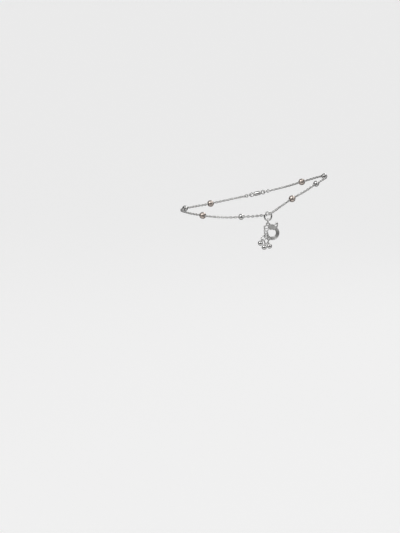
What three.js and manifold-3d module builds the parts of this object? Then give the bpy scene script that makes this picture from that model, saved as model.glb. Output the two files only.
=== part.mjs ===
// A payal anklet: a fine cable chain with round beads, a pierced charm and three small bells.
// Millimetres, +Z up. The origin is the centre of the ankle opening, +X points to the heel, and the
// charm hangs on the -Y side.
import * as THREE from "three";
import { mergeVertices } from "three/addons/utils/BufferGeometryUtils.js";
import Module from "manifold-3d";

const wasm = await Module();
wasm.setup();

// Gaps: round a threaded chain, between two rings that hang in each other, round the wire that the
// charm swings on, round a ring's wire in an eye of the charm, and over the chain
const BORE_GAP = 0.24;
const HANG_GAP = 0.12;
const SWING_GAP = 0.26;
const EYE_GAP = 0.2;
const CHAIN_GAP = 0.3;

// The chain: one round tube of its outer width, with a real link at each end
const CHAIN_WIDTH = 1.55;
const CHAIN_SIDES = 8;
const CHAIN_STEPS = 80;
const END_LINK_RADIUS = 0.9;
const END_LINK_WIRE = 0.45;

// The beads, each drilled for the chain
const ROSE_BEAD = 4;
const SILVER_BEAD = 3.5;
const BEAD_SIDES = 14;
const BEAD_ARC_STEPS = 8;

// The big jump ring that the chain runs through, its turn about the vertical in degrees, and the
// place of the chain's axis under its top wire
const CHARM_RING_RADIUS = 2.5;
const CHARM_RING_WIRE = 0.92;
const CHARM_RING_TURN = 32;
const RING_OVER = [7.88, -30.75, -8.57];

// The small ring between the jump ring and the charm
const CONNECTOR_RADIUS = 1.52;
const CONNECTOR_WIRE = 0.6;

// The charm: a flat pierced casting. Its places are measured from its eyelet's hole, x to the
// right and y upwards, and its relief stands as high on the back as on the front
const CHARM_THICK = 1.1;
const EYE_THICK = 0.7;
const SCROLL_THICK = 0.78;
const RELIEF = 0.22;
const EYELET_HOLE = 0.65;
const EYELET_WALL = 0.55;
const EYELET_TIP = 1.48;
const CRESCENT = { x: 2.47, y: -5.16, outer: 4.23, inner: 2.2, start: -128, end: 47 };
const CRESCENT_RIBS = 3;
const CRESCENT_RIB = 0.4;
const BOAT_RIBS = 4;
const BOAT_RIB = 0.26;

// The left bell ring, which hangs in a slanted slot, and the right one, which hangs in a round hole
const LEFT_RING = { x: -2.47, y: -8.19, radius: 1.55, wire: 0.56, tilt: 45, bearing: 32 };
const LEFT_EYE_WALL = 0.5;
const RIGHT_RING = { radius: 1.2, wire: 0.54, way: [-0.16, -1, 0], turn: 12 };
const RIGHT_EYE = { x: 0.41, y: -8.72, hole: 0.56, wall: 0.46 };

// The long link of the middle bell: where it hooks on the left ring, and the way that it hangs
const BELL_LINK = { length: 3.4, width: 1.7, wire: 0.44, hook: 110, way: [0.38, -0.92, 0] };

// The bells: hollow balls with a slit below and a loop on top
const BELL = 3;
const BELL_WALL = 0.28;
const BELL_SLIT = 0.34;
const BELL_SLIT_DEPTH = 0.7;
const BELL_LOOP_RADIUS = 0.58;
const BELL_LOOP_WIRE = 0.36;
const BELL_SIDES = 12;
const BELL_RINGS = 8;
const LEFT_BELL = { hook: 150, way: [-0.51, -0.86, 0] };
const MIDDLE_BELL = { way: [-0.31, -0.95, 0] };
const RIGHT_BELL = { way: [0.44, -0.9, 0] };

// The clasp, on the side that the ankle hides: a plain barrel between two eyes, and its two rings
const CLASP_LENGTH = 7;
const CLASP_BARREL = 2.6;
const CLASP_EYE_RADIUS = 1.1;
const CLASP_EYE_WIRE = 0.7;
const CLASP_RING_RADIUS = 1.3;
const CLASP_RING_WIRE = 0.6;
const CLASP_CENTRE = [3, 30.6, -2.9];

// Facets: round a wire, round a ring, and along an arc of the charm
const WIRE_SIDES = 8;
const RING_STEPS = 20;
const LOOP_STEPS = 14;
const ARC_STEPS = 10;
const ROUND_STEPS = 5;

// The chain's route, chosen by hand: from one side of the clasp by the heel and the near side, then
// by the front of the ankle to the other side of the clasp
const CHAIN_ROUTE = [
  [20, 26.9, 1.6],
  [33, 19.2, 6.4],
  [41.2, 9, 9.9],
  [43.1, 0, 10.2],
  [41.4, -7.6, 9.8],
  [36.63, -14.9, 7.84],
  [30, -21, 4.1],
  [22.08, -26, 0.2],
  [14.4, -29.7, -4.6],
  [9.9, -31.75, -7.5],
  [7.88, -31, -8.57],
  [5.6, -30.3, -8.95],
  [0, -30.9, -9.55],
  [-8.1, -30.5, -9.95],
  [-14, -29.4, -10.4],
  [-24, -25.6, -10.5],
  [-30.42, -21.9, -10.13],
  [-39, -12.2, -9.8],
  [-43.08, 0, -9.6],
  [-39.4, 12.4, -9.6],
  [-28.5, 23.4, -8.9],
  [-14, 29.7, -6.5],
];

// Each bead's size, and its place as a share of the chain's length
const BEADS = [
  { name: "bead_rose_1", size: ROSE_BEAD, share: 0.098 },
  { name: "bead_silver_1", size: SILVER_BEAD, share: 0.196 },
  { name: "bead_silver_2", size: SILVER_BEAD, share: 0.293 },
  { name: "bead_rose_2", size: ROSE_BEAD, share: 0.382 },
  { name: "bead_silver_3", size: SILVER_BEAD, share: 0.533 },
  { name: "bead_rose_3", size: ROSE_BEAD, share: 0.641 },
  { name: "bead_silver_4", size: SILVER_BEAD, share: 0.8 },
  { name: "bead_rose_4", size: ROSE_BEAD, share: 0.9 },
];

// The charm's pierced side: the places where its bars meet, and the bars between them
const SCROLL_POINTS = {
  topLeft: { x: -2.03, y: -1.4 },
  shoulder: { x: -1.0, y: -0.8 },
  topRight: { x: 0.2, y: -1.05 },
  legTop: { x: 0.8, y: 0.5 },
  legFoot: { x: 1.6, y: -0.45 },
  upperLeft: { x: -1.97, y: -2.9 },
  upperRight: { x: 0.6, y: -2.05 },
  middleLeft: { x: -2.02, y: -3.9 },
  fork: { x: -0.6, y: -4.15 },
  forkRight: { x: 0.75, y: -2.7 },
  lowerLeft: { x: -1.85, y: -5.7 },
  lowerRight: { x: -0.2, y: -5.5 },
  heelTop: { x: 0.1, y: -6.5 },
  heel: { x: 0.9, y: -7.8 },
};
const SCROLL_BARS = [
  { from: "shoulder", to: "topLeft", width: 0.62 },
  { from: "shoulder", to: "topRight", width: 0.62 },
  { from: "legTop", to: "legFoot", width: 0.5 },
  { from: "topLeft", to: "upperLeft", width: 0.5 },
  { from: "upperLeft", to: "middleLeft", width: 0.5 },
  { from: "middleLeft", to: "lowerLeft", width: 0.55 },
  { from: "upperLeft", to: "upperRight", width: 0.5 },
  { from: "middleLeft", to: "fork", width: 0.45 },
  { from: "fork", to: "forkRight", width: 0.55 },
  { from: "fork", to: "lowerRight", width: 0.6 },
  { from: "lowerLeft", to: "lowerRight", width: 0.5 },
  { from: "lowerRight", to: "heelTop", width: 0.75 },
  { from: "heelTop", to: "heel", width: 1.0 },
];

// The bright rim on the boat's underside, and the discs that stand out of it
const BOAT_RIM = [
  { from: { x: 0.3, y: -1.75 }, to: { x: 1.35, y: -2.95 }, width: 0.42 },
  { from: { x: 3.55, y: -3.05 }, to: { x: 4.95, y: -2.3 }, width: 0.42 },
];
const BOAT_SCALLOPS = [
  { x: 1.75, y: -2.98, radius: 0.5 },
  { x: 3.1, y: -2.98, radius: 0.5 },
];

// The boat's outline
const BOAT = [
  [0.3, -0.9],
  [1.35, -0.15],
  [3.55, -0.2],
  [4.2, -1.05],
  [5.1, -1.6],
  [5.0, -2.5],
  [3.6, -3.05],
  [1.2, -3.05],
  [0.2, -2.05],
];

// The leaf that stands over the boat's right end: its outline, and the stem that carries it
const LEAF = [
  [5.0, 1.35],
  [4.4, 0.65],
  [3.8, 0.0],
  [3.85, -0.4],
  [4.6, -0.1],
  [5.1, -0.15],
  [5.6, -0.55],
  [5.95, 0.1],
  [5.95, 0.85],
  [5.5, 1.5],
];
const STEM = { from: { x: 5.1, y: -2.0 }, to: { x: 5.6, y: -0.4 }, width: 0.7 };

// The round grains on the pierced side
const GRAINS = [
  { x: -2.05, y: -1.42, size: 1.06 },
  { x: -2.0, y: -2.4, size: 0.96 },
  { x: -2.02, y: -3.9, size: 1.04 },
  { x: -1.92, y: -5.38, size: 1.04 },
  { x: -0.3, y: -4.9, size: 0.96 },
];
const GRAIN_SIDES = 8;
const GRAIN_RINGS = 6;

const silver = { color: 0xd9d9d8, roughness: 0.2, metalness: 1 };
const roseGold = { color: 0xdfc4b2, roughness: 0.2, metalness: 1 };
const darkSilver = { color: 0x9a9a98, roughness: 0.35, metalness: 1 };

const degrees = THREE.MathUtils.degToRad;
const vector = (values) => new THREE.Vector3(...values);

// Solids: a closed geometry as something that can be joined and cut, and back again
function solidOf(geometry) {
  const bare = geometry.clone();
  bare.deleteAttribute("normal");
  bare.deleteAttribute("uv");
  const merged = mergeVertices(bare, 1e-4);
  return new wasm.Manifold(
    new wasm.Mesh({
      numProp: 3,
      vertProperties: new Float32Array(merged.attributes.position.array),
      triVerts: new Uint32Array(merged.index.array),
    }),
  );
}

function geometryOf(solid) {
  const mesh = solid.getMesh();
  const geometry = new THREE.BufferGeometry();
  geometry.setAttribute("position", new THREE.BufferAttribute(mesh.vertProperties, 3));
  geometry.setIndex(new THREE.BufferAttribute(mesh.triVerts, 1));
  const faceted = geometry.toNonIndexed();
  faceted.computeVertexNormals();
  return faceted;
}

function joined(geometries) {
  const solids = geometries.map(solidOf);
  return solids.slice(1).reduce((whole, solid) => whole.add(solid), solids[0]);
}

// A mesh under its name, with its finish
function named(name, geometry, finish) {
  const mesh = new THREE.Mesh(geometry, new THREE.MeshStandardMaterial(finish));
  mesh.name = name;
  return mesh;
}

// Turns an object so that its own y is `up` and its own z is as near to `normal` as it can be
function stand(object, origin, up, normal) {
  const y = up.clone().normalize();
  const z = normal.clone().addScaledVector(y, -normal.dot(y)).normalize();
  const x = new THREE.Vector3().crossVectors(y, z);
  object.position.copy(origin);
  object.quaternion.setFromRotationMatrix(new THREE.Matrix4().makeBasis(x, y, z));
  return object;
}

// A round ring of wire in its own xy plane
function ringGeometry(radius, wire, steps = RING_STEPS) {
  return new THREE.TorusGeometry(radius, wire / 2, WIRE_SIDES, steps);
}

// How far apart the centres of two linked and pulled rings lie
const linked = (radiusA, wireA, radiusB, wireB) =>
  radiusA + radiusB - wireA / 2 - wireB / 2 - HANG_GAP;

// The clasp's axis, and where the chain's ends lie on it
const claspCentre = vector(CLASP_CENTRE);
const claspAxis = vector(CHAIN_ROUTE[0]).sub(vector(CHAIN_ROUTE.at(-1))).normalize();
const claspUp = new THREE.Vector3(0, 0, 1).addScaledVector(claspAxis, -claspAxis.z).normalize();
const claspAcross = new THREE.Vector3().crossVectors(claspAxis, claspUp);
const eyeOffset = CLASP_LENGTH / 2;
const claspRingOffset =
  eyeOffset + linked(CLASP_EYE_RADIUS, CLASP_EYE_WIRE, CLASP_RING_RADIUS, CLASP_RING_WIRE);
const endLinkOffset =
  claspRingOffset + linked(CLASP_RING_RADIUS, CLASP_RING_WIRE, END_LINK_RADIUS, END_LINK_WIRE);
const onClaspAxis = (offset) => claspCentre.clone().addScaledVector(claspAxis, offset);

// The chain's axis from one end link to the other
const chainCurve = new THREE.CatmullRomCurve3([
  onClaspAxis(endLinkOffset + END_LINK_RADIUS),
  ...CHAIN_ROUTE.map(vector),
  onClaspAxis(-endLinkOffset - END_LINK_RADIUS),
]);
chainCurve.arcLengthDivisions = 2000;

// The outline of the chain, closed by a link at each end
function chainMesh() {
  const section = new THREE.Shape();
  const corner = CHAIN_WIDTH / 2;
  for (let i = 0; i < CHAIN_SIDES; i++) {
    const angle = ((i + 0.5) * 2 * Math.PI) / CHAIN_SIDES;
    section[i ? "lineTo" : "moveTo"](corner * Math.cos(angle), corner * Math.sin(angle));
  }
  const tube = new THREE.ExtrudeGeometry(section, {
    steps: CHAIN_STEPS,
    extrudePath: chainCurve,
    bevelEnabled: false,
  });
  const ends = [endLinkOffset, -endLinkOffset].map((offset) => {
    const link = new THREE.Mesh(ringGeometry(END_LINK_RADIUS, END_LINK_WIRE));
    stand(link, onClaspAxis(offset), claspAxis, claspAcross);
    link.updateMatrix();
    return link.geometry.applyMatrix4(link.matrix);
  });
  return named("chain", geometryOf(joined([tube, ...ends])), silver);
}

// A round bead, drilled through along its own y
function beadMesh({ name, size, share }) {
  const bore = CHAIN_WIDTH / 2 + BORE_GAP;
  const edge = Math.asin(bore / (size / 2));
  const profile = [];
  for (let i = 0; i <= BEAD_ARC_STEPS; i++) {
    const angle = edge + ((Math.PI - 2 * edge) * i) / BEAD_ARC_STEPS;
    profile.push(
      new THREE.Vector2(Math.sin(angle) * (size / 2), -Math.cos(angle) * (size / 2)),
    );
  }
  profile.push(profile[0].clone());
  const finish = size === ROSE_BEAD ? roseGold : silver;
  const bead = named(name, new THREE.LatheGeometry(profile, BEAD_SIDES), finish);
  const tangent = chainCurve.getTangentAt(share);
  return stand(bead, chainCurve.getPointAt(share), tangent, new THREE.Vector3(0, 0, 1));
}

// The big jump ring hangs over the chain
function charmRingCentre() {
  const below = CHARM_RING_RADIUS - CHARM_RING_WIRE / 2 - CHAIN_WIDTH / 2 - CHAIN_GAP;
  return vector(RING_OVER).add(new THREE.Vector3(0, 0, -below));
}

function charmRingMesh() {
  const ring = named("charm_ring", ringGeometry(CHARM_RING_RADIUS, CHARM_RING_WIRE), silver);
  const turn = degrees(CHARM_RING_TURN);
  const normal = new THREE.Vector3(Math.sin(turn), -Math.cos(turn), 0);
  return stand(ring, charmRingCentre(), new THREE.Vector3(0, 0, 1), normal);
}

// What hangs below the jump ring swings about its lowest wire, so it is one group at that wire's
// centre. In the group x points right, y up and z to the front
const connectorDrop =
  CONNECTOR_RADIUS - CONNECTOR_WIRE / 2 - CHARM_RING_WIRE / 2 - SWING_GAP;
const eyeletDrop =
  connectorDrop +
  Math.sqrt((CONNECTOR_RADIUS - CONNECTOR_WIRE / 2 - HANG_GAP) ** 2 - (EYE_THICK / 2) ** 2) +
  EYELET_HOLE;
const fromEyelet = (x, y, z = 0) => new THREE.Vector3(x, y - eyeletDrop, z);
const X = new THREE.Vector3(1, 0, 0);
const Y = new THREE.Vector3(0, 1, 0);
const Z = new THREE.Vector3(0, 0, 1);

function connectorMesh() {
  const ring = named("connector_ring", ringGeometry(CONNECTOR_RADIUS, CONNECTOR_WIRE), silver);
  return stand(ring, new THREE.Vector3(0, -connectorDrop, 0), Y, X);
}

// A flat shape as a plate of this thickness, centred on the charm's plane
function plate(shape, thick, curveSegments = ROUND_STEPS) {
  const geometry = new THREE.ExtrudeGeometry(shape, {
    depth: thick,
    bevelEnabled: false,
    curveSegments,
  });
  return geometry.translate(0, 0, -thick / 2);
}

function disc(x, y, radius) {
  const shape = new THREE.Shape();
  shape.absarc(x, y, radius, 0, 2 * Math.PI, false);
  return shape;
}

function outline(corners) {
  return new THREE.Shape(corners.map(([x, y]) => new THREE.Vector2(x, y)));
}

// A bar with round ends, from one point to another
function bar({ from, to, width }) {
  const angle = Math.atan2(to.y - from.y, to.x - from.x);
  const side = Math.PI / 2;
  const shape = new THREE.Shape();
  shape.absarc(from.x, from.y, width / 2, angle + side, angle - side + 2 * Math.PI, false);
  shape.absarc(to.x, to.y, width / 2, angle - side, angle + side, false);
  return shape;
}

// A band along an arc of the crescent
function arcBand(inner, outer) {
  const { x, y } = CRESCENT;
  const from = degrees(CRESCENT.start);
  const to = degrees(CRESCENT.end);
  const shape = new THREE.Shape();
  shape.absarc(x, y, outer, from, to, false);
  shape.absarc(x, y, inner, to, from, true);
  return shape;
}

// The slanted slot of the left bell ring: where the ring's wire crosses the charm's plane
const leftBearing = degrees(LEFT_RING.bearing);
const leftTilt = degrees(LEFT_RING.tilt);
const alongLeft = new THREE.Vector3(Math.cos(leftBearing), Math.sin(leftBearing), 0);
const acrossLeft = new THREE.Vector3(Math.sin(leftBearing), -Math.cos(leftBearing), 0);
const leftWallEdge = Math.sqrt(
  (LEFT_RING.radius - LEFT_RING.wire / 2 - EYE_GAP) ** 2 -
    (EYE_THICK / 2 / Math.sin(leftTilt)) ** 2,
);
const leftSlotFar = LEFT_RING.radius + LEFT_RING.wire / 2 + EYE_GAP;
const leftSlot = {
  middle: (leftWallEdge + leftSlotFar) / 2,
  width: leftSlotFar - leftWallEdge,
  half: EYE_THICK / 2 / Math.tan(leftTilt) + LEFT_RING.wire / 2 / Math.sin(leftTilt) + EYE_GAP,
};

function leftSlotBar(extra) {
  const centre = new THREE.Vector3(LEFT_RING.x, LEFT_RING.y, 0);
  centre.addScaledVector(alongLeft, leftSlot.middle);
  const reach = leftSlot.half - leftSlot.width / 2;
  const from = centre.clone().addScaledVector(acrossLeft, -reach);
  const to = centre.clone().addScaledVector(acrossLeft, reach);
  return bar({ from, to, width: leftSlot.width + 2 * extra });
}

function eyeletShape() {
  const outer = EYELET_HOLE + EYELET_WALL;
  const side = Math.acos(outer / EYELET_TIP);
  const shape = new THREE.Shape();
  shape.absarc(0, 0, outer, Math.PI / 2 + side, Math.PI / 2 - side + 2 * Math.PI, false);
  shape.lineTo(0, EYELET_TIP);
  return shape;
}

function charmMesh() {
  const ribbed = CHARM_THICK + 2 * RELIEF;
  const { inner, outer } = CRESCENT;
  const boat = outline(BOAT);
  const pitch = (outer - inner) / CRESCENT_RIBS;
  const crescentRibs = Array.from({ length: CRESCENT_RIBS }, (_, i) => {
    const middle = inner + (i + 0.5) * pitch;
    const band = arcBand(middle - CRESCENT_RIB / 2, middle + CRESCENT_RIB / 2);
    return plate(band, ribbed, ARC_STEPS);
  });
  const boatBounds = new THREE.Box2().setFromPoints(boat.getPoints());
  const boatPitch = (boatBounds.max.y - boatBounds.min.y) / (BOAT_RIBS + 0.5);
  const boatRibs = Array.from({ length: BOAT_RIBS }, (_, i) => {
    const y = boatBounds.max.y - (i + 0.75) * boatPitch;
    const from = { x: boatBounds.min.x, y };
    const to = { x: boatBounds.max.x, y };
    return plate(bar({ from, to, width: BOAT_RIB }), ribbed);
  });
  const ribsInBoat = joined(boatRibs).intersect(solidOf(plate(boat, ribbed)));
  const grains = GRAINS.map(({ x, y, size }) =>
    new THREE.SphereGeometry(size / 2, GRAIN_SIDES, GRAIN_RINGS)
      .rotateX(Math.PI / 2)
      .translate(x, y, 0),
  );
  const body = joined([
    plate(eyeletShape(), EYE_THICK),
    plate(boat, CHARM_THICK),
    plate(arcBand(inner, outer), CHARM_THICK, ARC_STEPS),
    plate(outline(LEAF), CHARM_THICK),
    plate(bar(STEM), CHARM_THICK),
    ...crescentRibs,
    ...BOAT_RIM.map((rim) => plate(bar(rim), ribbed)),
    ...BOAT_SCALLOPS.map(({ x, y, radius }) => plate(disc(x, y, radius), ribbed)),
    ...SCROLL_BARS.map(({ from, to, width }) =>
      plate(bar({ from: SCROLL_POINTS[from], to: SCROLL_POINTS[to], width }), SCROLL_THICK),
    ),
    ...grains,
  ]);
  const eyes = joined([
    plate(leftSlotBar(LEFT_EYE_WALL), EYE_THICK),
    plate(disc(RIGHT_EYE.x, RIGHT_EYE.y, RIGHT_EYE.hole + RIGHT_EYE.wall), EYE_THICK),
  ]);
  const clear = 4 * CHARM_THICK;
  const holes = joined([
    plate(disc(0, 0, EYELET_HOLE), clear),
    plate(leftSlotBar(0), clear),
    plate(disc(RIGHT_EYE.x, RIGHT_EYE.y, RIGHT_EYE.hole), clear),
  ]);
  const solid = body.add(ribsInBoat).add(eyes).subtract(holes);
  const charm = named("charm", geometryOf(solid), darkSilver);
  charm.position.copy(fromEyelet(0, 0));
  return charm;
}

// A point on the left bell ring, at this angle from its crossing with the charm, and the way its
// wire runs there. The ring's lower side leans to the front
const leftRingDown = acrossLeft
  .clone()
  .multiplyScalar(Math.cos(leftTilt))
  .addScaledVector(Z, Math.sin(leftTilt));
const leftRingCentre = fromEyelet(LEFT_RING.x, LEFT_RING.y);

function onLeftRing(angle) {
  const turn = degrees(angle);
  const point = leftRingCentre
    .clone()
    .addScaledVector(alongLeft, LEFT_RING.radius * Math.cos(turn))
    .addScaledVector(leftRingDown, LEFT_RING.radius * Math.sin(turn));
  const wire = alongLeft
    .clone()
    .multiplyScalar(-Math.sin(turn))
    .addScaledVector(leftRingDown, Math.cos(turn));
  return { point, wire };
}

function leftRingMesh() {
  const ring = named("bell_ring_left", ringGeometry(LEFT_RING.radius, LEFT_RING.wire), silver);
  const normal = new THREE.Vector3().crossVectors(alongLeft, leftRingDown);
  return stand(ring, leftRingCentre, alongLeft, normal);
}

// The right ring hangs from the wall below its round eye, nearly edge-on
const rightRingWay = vector(RIGHT_RING.way).normalize();
const rightRingTurn = degrees(RIGHT_RING.turn);
const rightRingNormal = new THREE.Vector3(Math.cos(rightRingTurn), 0, Math.sin(rightRingTurn));
const rightRingDrop =
  RIGHT_EYE.hole +
  Math.sqrt((RIGHT_RING.radius - RIGHT_RING.wire / 2 - EYE_GAP) ** 2 - (EYE_THICK / 2) ** 2);
const rightRingCentre = fromEyelet(RIGHT_EYE.x, RIGHT_EYE.y).addScaledVector(
  rightRingWay,
  rightRingDrop,
);

function rightRingMesh() {
  const geometry = ringGeometry(RIGHT_RING.radius, RIGHT_RING.wire);
  const ring = named("bell_ring_right", geometry, silver);
  return stand(ring, rightRingCentre, rightRingWay.clone().negate(), rightRingNormal);
}

// The middle bell's long link is a ring drawn out to straight sides, and hooks over the left ring
const linkHook = onLeftRing(BELL_LINK.hook);
const linkWay = vector(BELL_LINK.way).normalize();
const linkCentre = linkHook.point
  .clone()
  .addScaledVector(
    linkWay,
    BELL_LINK.length / 2 - BELL_LINK.wire - LEFT_RING.wire / 2 - HANG_GAP,
  );

function linkMesh() {
  const { length, width, wire } = BELL_LINK;
  const straight = (length - width) / 2;
  const geometry = ringGeometry((width - wire) / 2, wire).rotateZ(Math.PI / RING_STEPS);
  const places = geometry.attributes.position;
  for (let i = 0; i < places.count; i++) {
    const y = places.getY(i);
    places.setY(i, y + straight * Math.sign(y));
  }
  const link = named("bell_link", geometry, silver);
  return stand(link, linkCentre, linkWay.clone().negate(), linkHook.wire);
}

// A bell hangs from a hook: a point on a wire, the way the wire runs and the wire's thickness
function bellMesh(name, hook, way, carrier) {
  const radius = BELL / 2;
  const loopCentre = radius + BELL_LOOP_RADIUS;
  const ball = solidOf(new THREE.SphereGeometry(radius, BELL_SIDES, BELL_RINGS));
  const hollow = solidOf(
    new THREE.SphereGeometry(radius - BELL_WALL, BELL_SIDES, BELL_RINGS),
  );
  const loop = solidOf(
    ringGeometry(BELL_LOOP_RADIUS, BELL_LOOP_WIRE, LOOP_STEPS).translate(0, loopCentre, 0),
  );
  const slit = solidOf(
    new THREE.BoxGeometry(BELL, radius, BELL_SLIT).translate(
      0,
      BELL_SLIT_DEPTH - 1.5 * radius,
      0,
    ),
  );
  const solid = ball.add(loop).subtract(hollow).subtract(slit);
  const bell = named(name, geometryOf(solid), silver);
  const down = vector(way).normalize();
  const drop =
    loopCentre + BELL_LOOP_RADIUS - BELL_LOOP_WIRE / 2 - carrier / 2 - HANG_GAP;
  const origin = hook.point.clone().addScaledVector(down, drop);
  return stand(bell, origin, down.negate(), hook.wire);
}

function claspMesh() {
  const barrelRadius = CLASP_BARREL / 2;
  const barrelHalf = eyeOffset - CLASP_EYE_RADIUS;
  const barrel = new THREE.CapsuleGeometry(
    barrelRadius,
    2 * (barrelHalf - barrelRadius),
    ARC_STEPS / 2,
    BEAD_SIDES,
    1,
  );
  const eyes = [eyeOffset, -eyeOffset].map((y) =>
    ringGeometry(CLASP_EYE_RADIUS, CLASP_EYE_WIRE).translate(0, y, 0),
  );
  const clasp = named("clasp", geometryOf(joined([barrel, ...eyes])), silver);
  return stand(clasp, claspCentre, claspAxis, claspAcross);
}

function claspRingMesh(name, offset) {
  const ring = named(name, ringGeometry(CLASP_RING_RADIUS, CLASP_RING_WIRE), silver);
  return stand(ring, onClaspAxis(offset), claspAxis, claspUp);
}

// The pendant: its own x, y and z point right, up and to the front
const pendant = new THREE.Group();
const linkEnd = {
  point: linkCentre.clone().addScaledVector(linkWay, (BELL_LINK.length - BELL_LINK.wire) / 2),
  wire: new THREE.Vector3().crossVectors(linkWay, linkHook.wire),
};
const rightHook = {
  point: rightRingCentre.clone().addScaledVector(rightRingWay, RIGHT_RING.radius),
  wire: new THREE.Vector3().crossVectors(rightRingNormal, rightRingWay),
};
pendant.add(
  connectorMesh(),
  charmMesh(),
  leftRingMesh(),
  rightRingMesh(),
  linkMesh(),
  bellMesh("bell_left", onLeftRing(LEFT_BELL.hook), LEFT_BELL.way, LEFT_RING.wire),
  bellMesh("bell_middle", linkEnd, MIDDLE_BELL.way, BELL_LINK.wire),
  bellMesh("bell_right", rightHook, RIGHT_BELL.way, RIGHT_RING.wire),
);
pendant.position.copy(charmRingCentre()).add(new THREE.Vector3(0, 0, -CHARM_RING_RADIUS));
pendant.rotation.x = Math.PI / 2;

const anklet = new THREE.Group();
anklet.add(
  chainMesh(),
  ...BEADS.map(beadMesh),
  charmRingMesh(),
  pendant,
  claspMesh(),
  claspRingMesh("clasp_ring_a", claspRingOffset),
  claspRingMesh("clasp_ring_b", -claspRingOffset),
);

export default anklet;
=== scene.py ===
"""A payal anklet: cable chain, round beads, jump ring, pierced charm and three small bells.

The frame's solids hold every place and size. Each class below repeats the sizes of its own pieces,
works out a finer surface in millimetres with numpy, and puts it over its solid.
"""

from __future__ import annotations

import logging
import math
from collections.abc import Callable, Sequence
from dataclasses import dataclass, field
from enum import Enum

import bpy
import numpy as np
from mathutils import Matrix

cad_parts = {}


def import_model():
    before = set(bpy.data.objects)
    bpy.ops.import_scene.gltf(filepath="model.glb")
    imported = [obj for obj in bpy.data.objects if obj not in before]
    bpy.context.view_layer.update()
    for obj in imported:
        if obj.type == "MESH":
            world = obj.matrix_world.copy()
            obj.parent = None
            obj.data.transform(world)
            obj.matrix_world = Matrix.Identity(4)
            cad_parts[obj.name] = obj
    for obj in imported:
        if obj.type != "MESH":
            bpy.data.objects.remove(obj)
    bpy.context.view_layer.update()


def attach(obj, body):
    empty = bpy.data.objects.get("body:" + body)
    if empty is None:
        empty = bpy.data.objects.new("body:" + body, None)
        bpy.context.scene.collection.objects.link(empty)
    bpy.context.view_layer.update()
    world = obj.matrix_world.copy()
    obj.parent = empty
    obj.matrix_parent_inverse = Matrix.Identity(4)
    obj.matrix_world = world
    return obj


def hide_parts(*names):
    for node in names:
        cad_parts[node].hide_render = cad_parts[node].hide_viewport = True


Array = np.ndarray
Field = Callable[[Array], Array]
Pair = tuple[float, float]
Triple = tuple[float, float, float]

LOG = logging.getLogger("payal")
MM = 0.001
UP = np.array([0.0, 0.0, 1.0])


class Body(Enum):
    """The two bodies of the frame."""

    ANKLET = "anklet"
    PENDANT = "pendant"


# Vectors and paths


def vector(*values: float) -> Array:
    """Returns a float array of these values."""
    return np.array(values, dtype=float)


def unit(values: Array) -> Array:
    """Returns the vectors divided by their lengths."""
    return values / np.linalg.norm(values, axis=-1, keepdims=True)


def basis(up: Array, normal: Array) -> Array:
    """Rows x, y and z: y along up, z as near to normal as it can be, and x = y cross z.

    Args:
        up: One or more vectors, on the last axis.
        normal: Vectors of the same shape.

    Returns:
        Rotation rows of shape (..., 3, 3), so that own points times rows gives turned points.
    """
    y = unit(up)
    z = unit(normal - y * np.sum(normal * y, axis=-1, keepdims=True))
    return np.stack([np.cross(y, z), y, z], axis=-2)


@dataclass(frozen=True)
class Route:
    """A smooth curve through points, sampled evenly along its length."""

    samples: Array
    lengths: Array

    @classmethod
    def through(cls, points: Array, steps: int = 160) -> Route:
        """Centripetal Catmull-Rom curve, worked out as one array for all its spans.

        On each span the knots lie apart by the square root of the distance between points, and the
        end tangents follow from the neighbouring points. Past each end the last step is repeated.

        Args:
            points: The points that the curve passes through, (n, 3).
            steps: Samples on each span.

        Returns:
            The sampled route.
        """
        first = 2 * points[0] - points[1]
        last = 2 * points[-1] - points[-2]
        p = np.vstack([first, points, last])
        gaps = np.sqrt(np.linalg.norm(np.diff(p, axis=0), axis=1))[:, None]
        before, here, after = gaps[:-2], gaps[1:-1], gaps[2:]
        p0, p1, p2, p3 = p[:-3], p[1:-2], p[2:-1], p[3:]
        m1 = ((p1 - p0) / before - (p2 - p0) / (before + here) + (p2 - p1) / here) * here
        m2 = ((p2 - p1) / here - (p3 - p1) / (here + after) + (p3 - p2) / after) * here
        t = (np.arange(steps) / steps)[None, :, None]
        p1, p2, m1, m2 = (a[:, None, :] for a in (p1, p2, m1, m2))
        cubic = (2 * p1 - 2 * p2 + m1 + m2) * t**3 + (3 * (p2 - p1) - 2 * m1 - m2) * t**2
        samples = np.vstack([(cubic + m1 * t + p1).reshape(-1, 3), points[-1]])
        travelled = np.cumsum(np.linalg.norm(np.diff(samples, axis=0), axis=1))
        return cls(samples, np.concatenate([[0.0], travelled]))

    @property
    def length(self) -> float:
        """The whole length of the route."""
        return float(self.lengths[-1])

    def at(self, distance: Array) -> Array:
        """Points at these distances along the route."""
        distance = np.atleast_1d(distance)
        return np.stack(
            [np.interp(distance, self.lengths, self.samples[:, i]) for i in range(3)], axis=-1
        )

    def heading(self, distance: Array, reach: float = 0.3) -> Array:
        """Directions of travel, from a point a little before to one a little after."""
        distance = np.atleast_1d(distance)
        return unit(self.at(distance + reach) - self.at(distance - reach))


# Surfaces on grids


@dataclass
class Surface:
    """Points in millimetres, faces of three or four corners, and how deep each point is sunk."""

    points: Array
    faces: Array
    recess: Array | None = None

    def placed(self, origin: Array, up: Array, normal: Array) -> Surface:
        """A copy whose own y is turned to up and own z to normal, at origin."""
        return Surface(origin + self.points @ basis(up, normal), self.faces, self.recess)

    def repeated(self, origins: Array, ups: Array, normals: Array) -> Surface:
        """Copies of this surface as one, at each origin, turned to each up and normal."""
        rows = basis(ups, normals)
        points = origins[:, None, :] + np.einsum("pi,nij->npj", self.points, rows)
        starts = np.arange(len(origins))[:, None, None] * len(self.points)
        faces = (self.faces[None] + starts).reshape(-1, self.faces.shape[1])
        return Surface(points.reshape(-1, 3), faces)


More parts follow.
